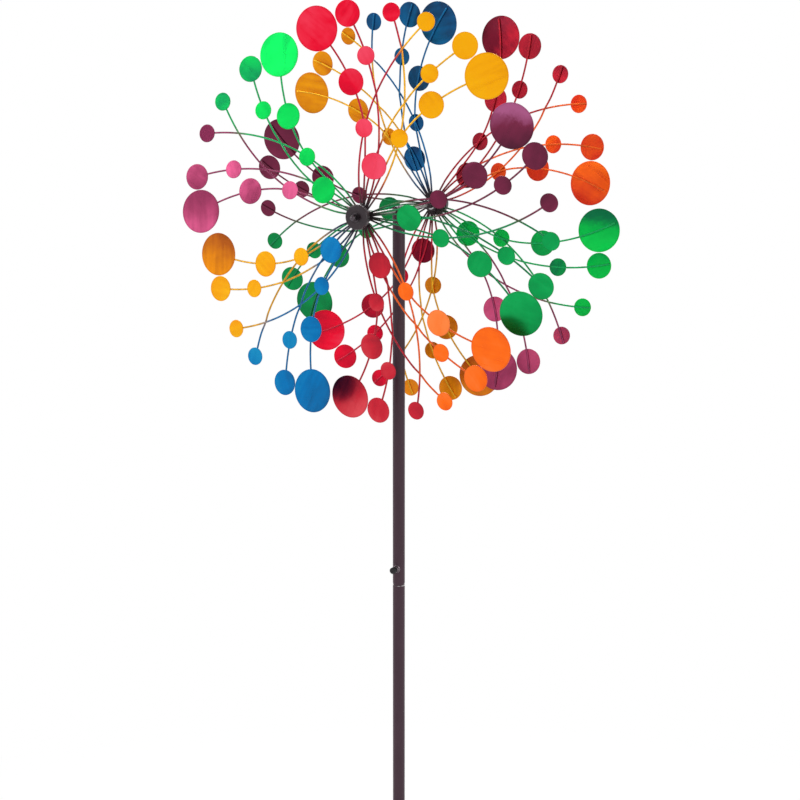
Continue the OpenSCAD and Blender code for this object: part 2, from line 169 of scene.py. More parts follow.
def blade_map(rotor, index):
    """Blade frame (X across, Z out, -Y away from the pole) in millimetres to world metres."""
    stand = PHASE[rotor] + STEP * index
    place = Matrix.Rotation(math.radians(stand + SAG * math.sin(math.radians(stand))), 4, "Y")
    place = place @ Matrix.Rotation(math.radians(-LEAN), 4, "X")
    place = place @ Matrix.Rotation(math.radians(PITCH), 4, "Z")
    place = Matrix.Translation((0, -ROTOR_Y, 0)) @ place
    if rotor == "rear":
        place = Matrix.Diagonal((1, -1, 1, 1)) @ place
    return TO_METRES @ Matrix.Translation((0, 0, HUB_Z)) @ place


def wire_line(wire, side, root_steps=8, spiral_steps=90):
    """Points along a wire: off the barrel, straight until clear, then along its spiral."""
    root, at, last = WIRES[wire]
    start, clear = polar(BARREL_R - 0.4, ROOT_STEP * root), at(FREE_R)
    points = [start]
    points += [start.lerp(clear, i / root_steps) for i in range(1, root_steps)]
    points += [
        at(FREE_R + (last - FREE_R) * i / spiral_steps) for i in range(spiral_steps + 1)
    ]
    return [Vector((side * p[0], p[1])) for p in points]


# ---- meshes ------------------------------------------------------------------------
class Build:
    """Collects closed shells in one mesh, with point attributes."""

    def __init__(self):
        self.verts, self.faces = [], []
        self.paint, self.grain, self.tone, self.edge, self.reflection_band = [], [], [], [], []

    def add(self, verts, faces, paint=None, grain=None, tone=None, edge=None, reflection_band=None):
        start, count = len(self.verts), len(verts)
        self.verts += verts
        self.faces += [tuple(i + start for i in face) for face in faces]
        self.paint += paint or [(0, 0, 0)] * count
        self.grain += grain or [(0, 0, 0)] * count
        self.tone += tone or [0.0] * count
        self.edge += edge or [0.0] * count
        self.reflection_band += reflection_band or [0.0] * count

    def make(self, name, matrix, material, sharp, weighted=True):
        mesh = bpy.data.meshes.new(name)
        faces = self.faces
        if matrix.to_3x3().determinant() < 0:
            faces = [tuple(reversed(face)) for face in faces]
        mesh.from_pydata([matrix @ p for p in self.verts], [], faces)
        mesh.validate()
        paint = [part for rgb in self.paint for part in (*rgb, 1)]
        grain = [part for place in self.grain for part in place]
        for key, kind, field, values in (
            ("paint", "FLOAT_COLOR", "color", paint),
            ("grain", "FLOAT_VECTOR", "vector", grain),
            ("tone", "FLOAT", "value", self.tone),
            ("edge", "FLOAT", "value", self.edge),
            ("reflection_band", "FLOAT", "value", self.reflection_band),
        ):
            mesh.attributes.new(key, kind, "POINT").data.foreach_set(field, values)
        for polygon in mesh.polygons:
            polygon.use_smooth = True
        mesh.set_sharp_from_angle(angle=math.radians(sharp))
        mesh.materials.append(material)
        obj = bpy.data.objects.new(name, mesh)
        bpy.context.scene.collection.objects.link(obj)
        if weighted:
            modifier = obj.modifiers.new("weighted", "WEIGHTED_NORMAL")
            modifier.keep_sharp = True
            modifier.weight = 60
        return obj


def fix_normals(obj):
    bm = bmesh.new()
    bm.from_mesh(obj.data)
    bmesh.ops.recalc_face_normals(bm, faces=bm.faces)
    bm.to_mesh(obj.data)
    bm.free()


def register(obj, body, replaced):
    """Puts a piece under its body's empty and hides the CAD node that it stands for."""
    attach(obj, body)
    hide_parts(replaced)


def around(count):
    return [2 * math.pi * j / count for j in range(count)]


def capped_faces(rows, sides):
    """Faces over a first pole vertex, rows of sides vertices and a last pole vertex."""
    faces, end = [], 1 + rows * sides
    for j in range(sides):
        k = (j + 1) % sides
        faces.append((0, 1 + k, 1 + j))
        for row in range(1, end - sides, sides):
            faces.append((row + j, row + k, row + sides + k, row + sides + j))
        faces.append((end - sides + j, end - sides + k, end))
    return faces


def tube(path, r, sides=12, cap=4):
    """Round rod with rounded ends. Returns verts, faces and each vertex's index in the path."""
    last = len(path) - 1
    tangents = [
        (path[min(i + 1, last)] - path[max(i - 1, 0)]).normalized() for i in range(last + 1)
    ]
    rings = []                                  # centre, tangent, radius, index in the path
    for k in range(cap):
        a = math.radians(90 * (cap - k) / cap)
        centre = path[0] - tangents[0] * r * math.sin(a)
        rings.append((centre, tangents[0], r * math.cos(a), 0))
    rings += [(path[i], tangents[i], r, i) for i in range(last + 1)]
    for k in range(1, cap + 1):
        a = math.radians(90 * k / cap)
        centre = path[-1] + tangents[-1] * r * math.sin(a)
        rings.append((centre, tangents[-1], r * math.cos(a), last))
    verts, stations = [], []
    for centre, tangent, ring_r, station in rings:
        if ring_r < 1e-6 * r + 1e-9:            # a pole
            verts.append(centre)
            stations.append(station)
            continue
        across = tangent.cross(Vector((0, 1, 0)))
        across = across.normalized() if across.length > 1e-6 else Vector((1, 0, 0))
        up = across.cross(tangent)
        for a in around(sides):
            verts.append(centre + across * ring_r * math.cos(a) + up * ring_r * math.sin(a))
            stations.append(station)
    return verts, capped_faces(len(rings) - 2, sides), stations


def blob(centre, radii, sides=10):
    """Ellipsoid with its poles along Z."""
    rx, ry, rz = radii
    verts, faces = [centre + Vector((0, 0, rz))], []
    for i in range(1, sides // 2):
        a = math.pi * i / (sides // 2)
        for b in around(sides):
            x, y = rx * math.sin(a) * math.cos(b), ry * math.sin(a) * math.sin(b)
            verts.append(centre + Vector((x, y, rz * math.cos(a))))
    verts.append(centre - Vector((0, 0, rz)))
    rows = [1 + i * sides for i in range(sides // 2 - 1)]
    for j in range(sides):
        k = (j + 1) % sides
        faces.append((0, 1 + j, 1 + k))
        for row, below in zip(rows, rows[1:]):
            faces.append((row + j, below + j, below + k, row + k))
        faces.append((rows[-1] + k, rows[-1] + j, len(verts) - 1))
    return verts, faces


def fillet(corners, steps=6):
    """Rounds an open polyline of (r, h, corner radius) between its two ends."""
    points = [Vector(corner[:2]) for corner in corners]
    out = [corners[0][:2]]
    for i in range(1, len(corners) - 1):
        before, corner, after = points[i - 1:i + 2]
        a, b = (before - corner).normalized(), (after - corner).normalized()
        angle = a.angle(b)
        cut = min(corners[i][2] / math.tan(angle / 2),
                  (before - corner).length * 0.49, (after - corner).length * 0.49)
        r = cut * math.tan(angle / 2)
        centre = corner + (a + b).normalized() * (r / math.sin(angle / 2))
        start, end = corner + a * cut - centre, corner + b * cut - centre
        for k in range(steps + 1):
            t = k / steps
            out.append(tuple(centre + (start * (1 - t) + end * t).normalized() * r))
    return out + [corners[-1][:2]]


def lathe(profile, segments, closed=False, shape=None):
    """Turns (r, h) points about the h axis, which is the last coordinate of the verts.

    Open profiles start and end on the axis; closed ones make a ring. shape(r, h, angle)
    gives the radius where the piece isn't round.
    """
    verts, faces, rows = [], [], []
    for r, h in profile:
        if r < 1e-6:
            rows.append([len(verts)])
            verts.append(Vector((0, 0, h)))
            continue
        rows.append([len(verts) + j for j in range(segments)])
        for a in around(segments):
            ring_r = shape(r, h, a) if shape else r
            verts.append(Vector((ring_r * math.cos(a), ring_r * math.sin(a), h)))
    pairs = list(zip(rows, rows[1:])) + ([(rows[-1], rows[0])] if closed else [])
    for a, b in pairs:
        for j in range(segments):
            k = (j + 1) % segments
            if len(a) == 1:
                faces.append((a[0], b[j], b[k]))
            elif len(b) == 1:
                faces.append((a[j], b[0], a[k]))
            else:
                faces.append((a[j], b[j], b[k], a[k]))
    return verts, faces


# ---- shader helpers ----------------------------------------------------------------
def lin(r, g, b):
    """8-bit sRGB to linear."""
    parts = (c / 255 for c in (r, g, b))
    return tuple(c / 12.92 if c <= 0.04045 else ((c + 0.055) / 1.055) ** 2.4 for c in parts)


def times(colour, factor, lift=0.0):
    return tuple(c * factor + lift for c in colour)


class Nodes:
    """Short calls for building the node tree of a world or a material."""

    def __init__(self, owner, output):
        owner.use_nodes = True
        self.tree = owner.node_tree
        self.tree.nodes.clear()
        self.output = self.node(output)

    def link(self, source, target):
        self.tree.links.new(source, target)

    def put(self, node, inputs):
        """Sets or links inputs, keyed by name or number; RGB values get an alpha of one."""
        for key, value in inputs.items():
            socket = node.inputs[key]
            if isinstance(value, bpy.types.NodeSocket):
                self.link(value, socket)
            elif socket.type == "RGBA":
                socket.default_value = (*value, 1)
            else:
                socket.default_value = value

    def node(self, kind, inputs={}, **settings):
        node = self.tree.nodes.new(kind)
        for key, value in settings.items():
            setattr(node, key, value)
        self.put(node, inputs)
        return node

    def math(self, operation, a, b=0.0, clamp=False):
        node = self.node("ShaderNodeMath", {0: a, 1: b}, operation=operation, use_clamp=clamp)
        return node.outputs[0]

    def scale_add(self, value, factor, offset, clamp=False):
        inputs = {0: value, 1: factor, 2: offset}
        node = self.node("ShaderNodeMath", inputs, operation="MULTIPLY_ADD", use_clamp=clamp)
        return node.outputs[0]

    def vary(self, base, pattern, amount, clamp=False):
        """Adds a pattern to a value, swinging about the pattern's middle."""
        return self.scale_add(self.math("SUBTRACT", pattern, 0.5), amount, base, clamp)

    def noise(self, vector, scale, detail=3.0, rough=0.55, distortion=0.0):
        inputs = {"Vector": vector, "Scale": scale, "Detail": detail, "Roughness": rough,
                  "Distortion": distortion}
        return self.node("ShaderNodeTexNoise", inputs).outputs[0]

    def stretch(self, vector, scale):
        inputs = {0: vector, 1: scale}
        return self.node("ShaderNodeVectorMath", inputs, operation="MULTIPLY").outputs[0]

    def ramp(self, value, stops):
        node = self.node("ShaderNodeValToRGB", {"Fac": value})
        elements = node.color_ramp.elements
        while len(elements) > 1:
            elements.remove(elements[-1])
        elements[0].position = stops[0][0]
        elements[0].color = (*stops[0][1], 1)
        for position, colour in stops[1:]:
            elements.new(position).color = (*colour, 1)
        return node.outputs[0]

    def mask(self, value, start, end, low=0, high=1):
        """Grey ramp from low at start to high at end."""
        return self.ramp(value, [(start, (low,) * 3), (end, (high,) * 3)])

    def mix(self, amount, a, b):
        return self.node("ShaderNodeMix", {0: amount, 6: a, 7: b}, data_type="RGBA").outputs[2]

    def mix_shader(self, amount, a, b):
        return self.node("ShaderNodeMixShader", {0: amount, 1: a, 2: b}).outputs[0]

    def bump(self, height, strength, distance):
        inputs = {"Height": height, "Strength": strength, "Distance": distance}
        return self.node("ShaderNodeBump", inputs).outputs[0]

    def attribute(self, name, output="Fac"):
        return self.node("ShaderNodeAttribute", attribute_name=name).outputs[output]

    def coords(self, output="Object"):
        return self.node("ShaderNodeTexCoord").outputs[output]


class Surface(Nodes):
    """A material with a Principled shader."""

    def __init__(self, name):
        self.material = bpy.data.materials.new(name)
        super().__init__(self.material, "ShaderNodeOutputMaterial")
        self.principled = self.node("ShaderNodeBsdfPrincipled")

    def finish(self, inputs):
        self.put(self.principled, inputs)
        self.link(self.principled.outputs[0], self.output.inputs[0])
        return self.material


# ---- materials ---------------------------------------------------------------------
PAINTED_REFLECTION_BASE = 10.0                              # added to the band on discs with a painted reflection of a light


def disc_paint(name, base, dark, light, brushed):
    """Candy paint over brushed sheet steel, glossy, the rim a thin darker line, lightened and
    darkened by painted shade, sheen and reflected lights from per-vertex attributes.
    """
    m = Surface(name)
    grain = m.attribute("grain", "Vector")
    tone = m.attribute("tone")
    edge = m.attribute("edge")
    reflection_band = m.attribute("reflection_band")
    along_grain = m.stretch(grain, (0.016, 0.13, 1))
    streak = m.noise(along_grain, scale=1.0, detail=2, rough=0.45)
    mottle = m.noise(grain, scale=0.045, detail=3, rough=0.5, distortion=0.4)
    peel = m.noise(grain, scale=0.10, detail=1, rough=0.5)
    ripple = m.noise(m.stretch(grain, (1, 1, 1)), scale=0.22, detail=2, rough=0.5)
    # painted light and shade: the per-vertex lightness sets where the paint sits between its dark,
    # base and light colours
    shade = m.scale_add(tone, factor=0.5, offset=0.5)
    shade = m.vary(shade, streak, amount=brushed * 0.8)
    shade = m.vary(shade, mottle, amount=0.35)
    # painted reflection: distance inside the edge of a reflected light, broken up by ripples
    wobble = m.math("SUBTRACT", ripple, 0.5)
    inside = m.scale_add(wobble, factor=0.5, offset=m.math("SUBTRACT", reflection_band, PAINTED_REFLECTION_BASE))
    lit = m.scale_add(inside, factor=5.0, offset=0.5, clamp=True)
    inside_only = m.math("ADD", inside, 0.0, clamp=True)
    depth = m.scale_add(inside_only, factor=0.34, offset=0.14)
    shade = m.scale_add(lit, factor=depth, offset=shade, clamp=True)
    colour = m.ramp(shade, [(0.0, dark), (0.5, base), (1.0, light)])
    colour = m.mix(m.math("MULTIPLY", edge, 0.22), colour, times(dark, 0.6))
    return m.finish({
        "Base Color": colour,
        "Metallic": 0.92,
        "Roughness": m.scale_add(streak, factor=0.16, offset=0.22),
        "Coat Weight": 0.10,
        "Coat Roughness": 0.08,
        "Normal": m.bump(peel, strength=0.06, distance=0.0002),
    })


def wire_paint():
    """The paint attribute, with darker patches and small dark chips."""
    m = Surface("wire_paint")
    paint = m.attribute("paint", "Color")
    place = m.coords()
    patch = m.noise(place, scale=130, detail=3, rough=0.6)
    chips = m.mask(m.noise(place, scale=420, detail=3, rough=0.7), start=0.64, end=0.74)
    patchy = m.mask(patch, start=0.42, end=0.70, high=0.6)
    colour = m.mix(patchy, paint, m.mix(0.7, paint, (0.02, 0.014, 0.016)))
    colour = m.mix(m.math("MULTIPLY", chips, 0.15), colour, (0.05, 0.035, 0.035))
    return m.finish({
        "Base Color": colour,
        "Metallic": 0.6,
        "Roughness": m.scale_add(patch, factor=0.2, offset=0.24),
        "Coat Weight": 0.08,
        "Coat Roughness": 0.15,
        "Specular IOR Level": 0.3,
        "Normal": m.bump(m.noise(place, scale=1400, detail=2), strength=0.25, distance=0.0001),
    })


def bronze_paint(name, base, metallic, rough, wear, lip=None, coat=0.15, specular=0.5):
    """Dark powder coat with a fine grain and rubbed patches; where a height is given, a painted
    highlight ring runs round the tube's cut edge at that height.
    """
    m = Surface(name)
    place = m.coords()
    cloud = m.noise(m.stretch(place, (1, 1, 0.25)), scale=22, detail=5, rough=0.6)
    grain = m.noise(place, scale=1900, detail=2, rough=0.6)
    rub = m.noise(m.stretch(place, (1, 1, 0.06)), scale=260, detail=4, rough=0.65)
    rub = m.mask(rub, start=0.58, end=0.80)
    stops = [(0.25, times(base, 0.72)), (0.55, base), (0.85, times(base, 1.35, lift=0.004))]
    colour = m.ramp(cloud, stops)
    colour = m.mix(m.math("MULTIPLY", rub, wear), colour, (0.16, 0.13, 0.13))
    if lip is not None:                         # painted highlight ring at the tube's cut edge, in patches like worn paint
        z = m.node("ShaderNodeSeparateXYZ", {"Vector": place}).outputs[2]
        off_highlight = m.math("ABSOLUTE", m.math("SUBTRACT", z, lip * MM))
        near_highlight = m.math("LESS_THAN", off_highlight, 0.7 * MM)
        patches = m.noise(m.stretch(place, (1, 1, 0.1)), scale=95, detail=3, rough=0.6)
        patches = m.mask(patches, start=0.40, end=0.62, low=0.05)
        # painted highlight: near-white colour in the ring's patches
        colour = m.mix(m.math("MULTIPLY", near_highlight, patches), colour, (0.86, 0.85, 0.85))
    return m.finish({
        "Base Color": colour,
        "Metallic": metallic,
        "Roughness": m.scale_add(cloud, factor=0.18, offset=rough - 0.09),
        "Coat Weight": coat,
        "Coat Roughness": 0.25,
        "Specular IOR Level": specular,
        "Normal": m.bump(grain, strength=0.35, distance=0.00012),
    })


def steel(name, base, rough, scale, brushed=(1, 1, 1), metallic=1.0):
    """Stained metal with fine lines, stretched where brushed is below one."""
    m = Surface(name)
    place = m.coords()
    lines = m.noise(m.stretch(place, brushed), scale=scale, detail=4, rough=0.6)
    stain = m.noise(place, scale=90, detail=4, rough=0.6)
    bright = tuple(min(1, c * 1.1) for c in base)
    return m.finish({
        "Base Color": m.ramp(stain, [(0.3, times(base, 0.75)), (0.6, base), (0.9, bright)]),
        "Metallic": metallic,
        "Roughness": m.scale_add(lines, factor=0.2, offset=rough - 0.1),
        "Normal": m.bump(lines, strength=0.2, distance=0.00008),
    })


def plastic(name, base):
    m = Surface(name)
    place = m.coords()
    texture = m.noise(place, scale=1500, detail=3, rough=0.6)
    wear = m.noise(place, scale=240, detail=4, rough=0.6)
    stops = [(0.35, times(base, 0.7)), (0.75, times(base, 1.8, lift=0.006))]
    return m.finish({
        "Base Color": m.ramp(wear, stops),
        "Roughness": m.scale_add(wear, factor=0.2, offset=0.4),
        "Specular IOR Level": 0.25,
        "Normal": m.bump(texture, strength=0.3, distance=0.00012),
    })


# 8-bit sRGB: disc base, disc dark, disc light, wire; disc dark and disc light end the ramp that
# paints the discs' mottle and their painted shade, sheen and reflections
PALETTE = {
    "crimson": ((240, 6, 48), (120, 10, 36), (252, 78, 106), (186, 16, 50)),
    "scarlet": ((200, 34, 52), (92, 14, 34), (232, 84, 92), (178, 20, 42)),
    "amber": ((255, 174, 2), (206, 112, 4), (255, 190, 10), (238, 176, 20)),
    "ochre": ((250, 152, 6), (184, 92, 22), (255, 190, 20), (214, 156, 22)),
    "orange": ((255, 108, 18), (214, 52, 24), (255, 140, 72), (238, 98, 22)),
    "plum": ((118, 38, 68), (70, 24, 44), (168, 88, 132), (110, 32, 62)),
    "magenta": ((158, 58, 96), (104, 30, 62), (228, 96, 146), (142, 50, 90)),
    "green": ((0, 196, 78), (6, 122, 74), (14, 216, 88), (0, 170, 92)),
    "deep_green": ((0, 156, 76), (6, 84, 50), (30, 196, 104), (0, 134, 78)),
    "blue": ((2, 118, 186), (24, 60, 98), (28, 156, 206), (0, 104, 158)),
}
WIRE_COLOURS = {name: lin(*row[3]) for name, row in PALETTE.items()}
DISC_PAINTS = {
    name: disc_paint(name + "_paint", lin(*base), lin(*dark), lin(*light),
                     brushed=0.42 if name in ("ochre", "amber") else 0.3)
    for name, (base, dark, light, _) in PALETTE.items()
}
WIRE_PAINT = wire_paint()
POLE_LOOK = dict(base=lin(62, 42, 52), metallic=0.1, rough=0.42, wear=0.06, coat=0.05,
                 specular=0.2)
POLE_PAINT = bronze_paint("pole_paint", **POLE_LOOK)
# the middle and lower tubes get a painted highlight ring at their top edge
MIDDLE_TUBE_PAINT = bronze_paint("pole_paint_lip", lip=UPPER_JOINT_Z, **POLE_LOOK)
LOWER_TUBE_PAINT = bronze_paint("pole_paint_low_lip", lip=LOWER_JOINT_Z, **POLE_LOOK)
BOSS_PAINT = bronze_paint("boss_paint", lin(110, 98, 104), metallic=0.9, rough=0.2, wear=0.6)
HUB_PAINT = bronze_paint("hub_paint", lin(38, 25, 32), metallic=0.3, rough=0.3, wear=0.12,
                         coat=0.2)
ZINC = steel("zinc_steel", (0.50, 0.49, 0.48), rough=0.38, scale=1200, brushed=(1, 0.1, 1))
BEARING = steel("bearing_steel", (0.62, 0.62, 0.63), rough=0.2, scale=1600)
NUT = steel("bright_nut", (0.09, 0.075, 0.085), rough=0.24, scale=700, metallic=0.95)
SCREW = steel("black_screw", (0.05, 0.045, 0.045), rough=0.4, scale=900,
              brushed=(1, 0.2, 1), metallic=0.8)
KNOB = plastic("black_knob", (0.008, 0.007, 0.008))


def paint_cad_nodes():
    """Gives every carried-over CAD node its full material."""
    full = {"wire_paint": WIRE_PAINT, "pole_paint": POLE_PAINT, "zinc_steel": ZINC,
            "bearing_steel": BEARING, "bright_nut": NUT, "black_screw": SCREW,
            "black_knob": KNOB}
    full.update({name + "_paint": paint for name, paint in DISC_PAINTS.items()})
    for obj in nodes.values():
        for slot in obj.material_slots:
            key = slot.material.name.split(".")[0] if slot.material else ""
            if key in full:
                slot.material = full[key]
    nodes["middle_tube"].material_slots[0].material = MIDDLE_TUBE_PAINT
    nodes["lower_tube"].material_slots[0].material = LOWER_TUBE_PAINT
    for name in ("front_hub_barrel", "rear_hub_barrel", "stop_collars"):
        nodes[name].material_slots[0].material = HUB_PAINT


paint_cad_nodes()

# ---- blade colours -----------------------------------------------------------------
# (left half, right half) of each blade
COLOURS = {
    "front": [("crimson", "amber"), ("plum", "deep_green"), ("orange", "scarlet"),
              ("blue", "ochre"), ("magenta", "green")],
    "rear": [("amber", "blue"), ("scarlet", "orange"), ("green", "magenta"),
             ("ochre", "crimson"), ("deep_green", "plum")],
}
# Painted light and shade: lightness of each half's discs, -1 to 1, with single discs named where
# they differ; lighter and darker discs stand in for the light each one catches and reflects
PAINTED_LIGHT_TONES = {
    "front": [
        ({"rest": 0.1, "centre": 0.8, "crossing": 0.8, "inner": 0.8}, {"rest": 0.1}),
        ({"rest": -0.25, "big": 0.0}, {"rest": 0.0}),
        ({"rest": 0.0, "shoulder": 0.6}, {"rest": 0.0, "centre": -0.35}),
        ({"rest": 0.0, "inner": 0.4, "tip": 0.6}, {"rest": 0.6, "big": -0.6}),
        ({"rest": 0.0, "crossing": 0.9, "inner": 0.4, "tip": -1.0},
         {"rest": 0.0, "corner": -0.7, "tip": -0.7}),
    ],
    "rear": [
        ({"rest": -0.7}, {"rest": -0.8}),
        ({"rest": -0.5, "big": -1.0, "centre": -1.0},
         {"rest": -0.75, "big": -0.5, "shoulder": -1.0}),
        ({"rest": 0.1, "inner": -0.7, "shoulder": -0.5, "big": -0.45},
         {"rest": 0.1, "shoulder": 0.7}),
        ({"rest": -0.3, "big": -0.7}, {"rest": -0.3, "shoulder": -0.6, "centre": -0.9}),
        ({"rest": -0.5}, {"rest": -0.3}),
    ],
}
# Keys below are rotor, blade number from 1, side and disc.
# Painted sheen across single discs: direction of its lighter side, as for blade angles, and
# strength
SHEEN = {
    ("front", 2, -1, "big"): (-10, 0.9), ("rear", 3, -1, "big"): (175, 1.0),
    ("rear", 2, 1, "big"): (20, 0.5), ("front", 5, -1, "big"): (190, 0.6),
    ("rear", 2, -1, "big"): (100, 0.45), ("front", 3, 1, "big"): (150, 0.8),
    ("rear", 4, 1, "big"): (110, 0.5), ("rear", 3, -1, "corner"): (180, 0.5),
    ("front", 4, 1, "big"): (200, 0.5), ("front", 5, 1, "big"): (160, 0.3),
}
# Discs that carry a painted reflection of a light on part of them: direction, and its edge's
# distance off centre in radii
PAINTED_REFLECTIONS = {
    ("front", 2, -1, "big"): (25, 0.28), ("rear", 3, -1, "big"): (190, -0.35),
    ("front", 2, -1, "shoulder"): (330, 0.72),
}
OVERSPRAY = lin(44, 33, 37)                     # dark hub paint on the wire roots
# How far out the overspray reaches, by rotor and blade number
OVERSPRAY_OUT = {("front", 4): 105, ("front", 1): 74, ("front", 2): 70, ("rear", 5): 70}
USUAL_OVERSPRAY_OUT = 58


def smooth(a, b, x):
    t = min(1, max(0, (x - a) / (b - a)))
    return t * t * (3 - 2 * t)


def blend(a, b, t):
    return tuple(x * (1 - t) + y * t for x, y in zip(a, b))


# ---- wires -------------------------------------------------------------------------
TUCK = 0.84 * 2 * WIRE_R                        # how far one wire dips behind another
TUCK_LENGTH = 11.0
WELD_RADII = (1.35, 1.9, 1.35)
ROOT_WELD_RADII = (1.5, 1.75, 1.1)
# Wires that cross, as (side, wire); the first one passes on the pole side
CROSSING_PAIRS = (
    ((1, "outer"), (-1, "outer")), ((1, "inner"), (-1, "inner")),
    ((1, "inner"), (1, "outer")), ((-1, "inner"), (-1, "outer")),
)


def wire_colourer(rotor, index):
    """Colour of a blade's wires by place: dark at the hub, then the centre disc's paint,
    further out that of the half the wire runs through."""
    left, right = (WIRE_COLOURS[colour] for colour in COLOURS[rotor][index])
    centre_side = CENTRE_SIDE[rotor][index]
    reach_out = OVERSPRAY_OUT.get((rotor, index + 1), USUAL_OVERSPRAY_OUT)

    def colour_at(q):
        shift = centre_side * 22 * (1 - smooth(70, 125, q[1]))
        colour = blend(left, right, smooth(-8, 8, q[0] + shift))
        clean = smooth(14, reach_out, math.hypot(q[0], q[1])) * 0.97
        return blend(OVERSPRAY, colour, clean)

    return colour_at


def crossings(a, b):
    """Points where two flat polylines cross, away from their starts."""
    out = []
    for i in range(2, len(a) - 1):
        for j in range(2, len(b) - 1):
            p, along_a = a[i], a[i + 1] - a[i]
            q, along_b = b[j], b[j + 1] - b[j]
            det = along_a[0] * along_b[1] - along_a[1] * along_b[0]
            if abs(det) < 1e-9:
                continue
            gap = q - p
            t = (gap[0] * along_b[1] - gap[1] * along_b[0]) / det
            u = (gap[0] * along_a[1] - gap[1] * along_a[0]) / det
            if 0 <= t < 1 and 0 <= u < 1:
                out.append(p + along_a * t)
    return out


def find_welds(lines):
    """All weld places, and for each wire those where it passes on the pole side."""
    behind = {key: [] for key in lines}
    welds = []
    for back, front in CROSSING_PAIRS:
        for c in crossings(lines[back], lines[front]):
            if c[1] > 45 and not any((c - weld).length < 4 for weld in welds):
                behind[back].append(c)
                welds.append(c)
    for side in (-1, 1):                        # the middle wire tucks under the crossing disc
        c = Vector((side * DISCS["crossing"][0], DISCS["crossing"][1]))
        behind[side, "middle"].append(c)
        welds.append(c)
    return welds, behind


def blade_wires(rotor, index):
    colour_at = wire_colourer(rotor, index)
    lines = {(side, wire): wire_line(wire, side) for side in (-1, 1) for wire in WIRES}
    welds, behind = find_welds(lines)
    build = Build()
    for key, line in lines.items():
        path = []
        for q in line:
            dips = [TUCK * math.exp(-((q - c).length / TUCK_LENGTH) ** 2) for c in behind[key]]
            path.append(Vector((q[0], max(dips, default=0), q[1])))
        verts, faces, stations = tube(path, WIRE_R)
        build.add(verts, faces, paint=[colour_at(line[station]) for station in stations])
    for c in welds:
        verts, faces = blob(Vector((c[0], WIRE_R * 0.85, c[1])), WELD_RADII)
        build.add(verts, faces, paint=[blend(colour_at(c), OVERSPRAY, 0.5)] * len(verts))
    for side in (-1, 1):
        for root, _, _ in WIRES.values():
            q = polar(BARREL_R + 0.25, ROOT_STEP * root)
            verts, faces = blob(Vector((side * q[0], 0, q[1])), ROOT_WELD_RADII)
            build.add(verts, faces, paint=[OVERSPRAY] * len(verts))
    name = f"{rotor}_blade_{index + 1}"
    obj = build.make(name + "_round_wires", blade_map(rotor, index), WIRE_PAINT,
                     sharp=60, weighted=False)
    register(obj, rotor + "_rotor", name + "_wires")


# ---- discs -------------------------------------------------------------------------
DISC_T = 1.0
DISC_EDGE_R = 0.32
DISC_SEGMENTS = {SMALL: 44, MIDDLE: 56, BIG: 72}
DISC_RINGS = (0.0, 0.14, 0.3, 0.47, 0.64, 0.8, 0.92)    # as parts of the flat's radius
DISC_WAVE = 0.16                                # unevenness of the biggest disc's sheet
DISC_SEAT = WIRE_R - 0.15                       # back face of a disc in front of the wire plane


def disc_shell(diameter, rng):
    """One stamped disc about Z, front up: rounded rim, slightly uneven sheet."""
    r, t, edge = diameter / 2, DISC_T, DISC_EDGE_R
    flat = r - edge
    rows = [flat * part for part in DISC_RINGS] + [flat - 0.02]
    profile = [(row, t) for row in rows]
    for a in map(math.radians, (22.5, 45, 67.5, 90)):
        profile.append((flat + edge * math.sin(a), t - edge + edge * math.cos(a)))
    for a in map(math.radians, (0, 22.5, 45, 67.5, 90)):
        profile.append((flat + edge * math.cos(a), edge - edge * math.sin(a)))
    profile += [(row, 0.0) for row in reversed(rows)]
    verts, faces = lathe(profile, DISC_SEGMENTS[diameter])
    shift_x, shift_y, shift_z = (rng.uniform(-50, 50) for _ in range(3))
    for p in verts:
        wave = noise.noise(Vector((p.x * 0.055 + shift_x, p.y * 0.055 + shift_y, shift_z)))
        p.z += DISC_WAVE * (math.hypot(p.x, p.y) / r) * (r / (BIG / 2)) ** 0.5 * wave
    return verts, [tuple(reversed(face)) for face in faces]


def disc_way(disc, side):
    """Direction of the wire under a disc, in the blade plane."""
    if disc == "centre":
        return Vector((0, 1))
    wire, out, _, flip = DISC_SEATS[disc]
    at = WIRES[wire][1]
    way = at(out + 1) - at(out - 1)
    return Vector((way[0] * side * flip, way[1])).normalized()


def grain_coords(verts, rng):
    """Texture places for a disc, turned and shifted at random so that no two look alike."""
    a = rng.uniform(0, math.pi)
    shift = (rng.uniform(0, 900), rng.uniform(0, 900), rng.uniform(0, 90))
    return [(p.x * math.cos(a) - p.y * math.sin(a) + shift[0],
             p.x * math.sin(a) + p.y * math.cos(a) + shift[1],
             p.z + shift[2]) for p in verts]


def toward(offset, degrees):
    return offset.x * math.sin(math.radians(degrees)) + offset.z * math.cos(math.radians(degrees))


